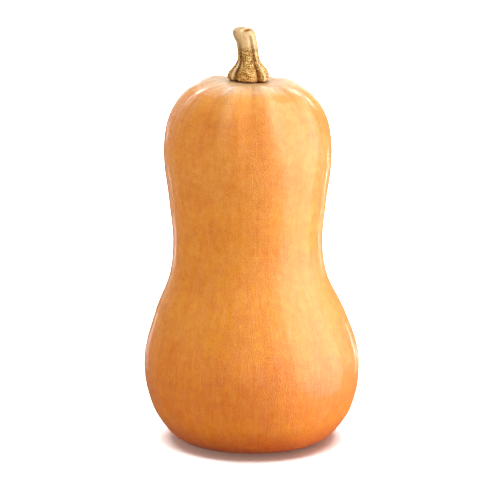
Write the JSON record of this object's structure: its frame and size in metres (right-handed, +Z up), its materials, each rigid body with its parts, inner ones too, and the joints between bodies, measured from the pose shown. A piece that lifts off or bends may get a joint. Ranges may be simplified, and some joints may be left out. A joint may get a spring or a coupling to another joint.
{
  "type": "butternut squash",
  "caption": "Whole butternut squash standing on its blossom end: a round seed bulb, a ribbed thick neck and a dry five-ridged cut stalk.",
  "frame": {"origin": "centre of the small flat ring on the blossom end that the squash stands on, at the level of the surface it stands on", "axes": "+Z up, from the blossom end through the neck to the stalk; -Y faces the picture's camera; +X is the picture's right, away from the side that the stalk's cut end bends to"},
  "size_m": [0.1268, 0.1271, 0.2416],
  "materials": {
    "rind": "satin",
    "stalk": "matte"
  },
  "bodies": {
    "root": {"fruit": "rind", "stalk": "stalk"}
  },
  "joints": []
}
